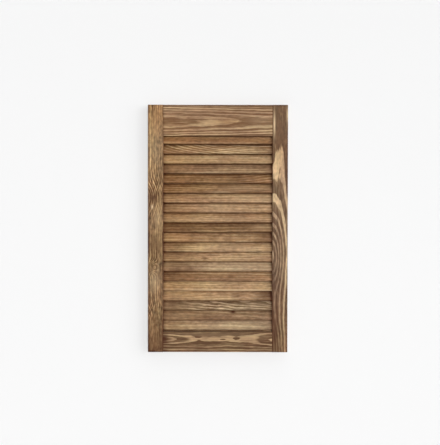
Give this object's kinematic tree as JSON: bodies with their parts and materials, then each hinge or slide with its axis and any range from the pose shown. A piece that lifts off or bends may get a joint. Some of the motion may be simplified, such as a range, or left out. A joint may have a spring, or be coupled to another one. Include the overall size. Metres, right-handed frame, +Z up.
{
  "type": "louvred shutter",
  "caption": "Upright stained pine louvred shutter: stiles and rails frame a stack of fixed leaning slats that screen a view while air passes between them.",
  "frame": {"origin": "middle of the bottom edge, at half the frame's thickness", "axes": "+Z up along the stiles, -Y out of the front face, +X to the right seen from the front"},
  "size_m": [0.394, 0.02, 0.697],
  "materials": {
    "frame_wood": "pine, brown stain under a satin wax, lighter along the late growth",
    "slat_wood": "pine, brown stain under a satin wax, each slat its own tone"
  },
  "bodies": {
    "root": {"stile_left": "frame_wood", "stile_right": "frame_wood", "rail_top": "frame_wood", "rail_bottom": "frame_wood", "slat_01": "slat_wood", "slat_02": "slat_wood", "slat_03": "slat_wood", "slat_04": "slat_wood", "slat_05": "slat_wood", "slat_06": "slat_wood", "slat_07": "slat_wood", "slat_08": "slat_wood", "slat_09": "slat_wood", "slat_10": "slat_wood", "slat_11": "slat_wood", "slat_12": "slat_wood", "slat_13": "slat_wood", "slat_14": "slat_wood", "slat_15": "slat_wood", "slat_16": "slat_wood", "slat_17": "slat_wood", "slat_18": "slat_wood", "slat_19": "slat_wood", "slat_20": "slat_wood"}
  },
  "joints": []
}
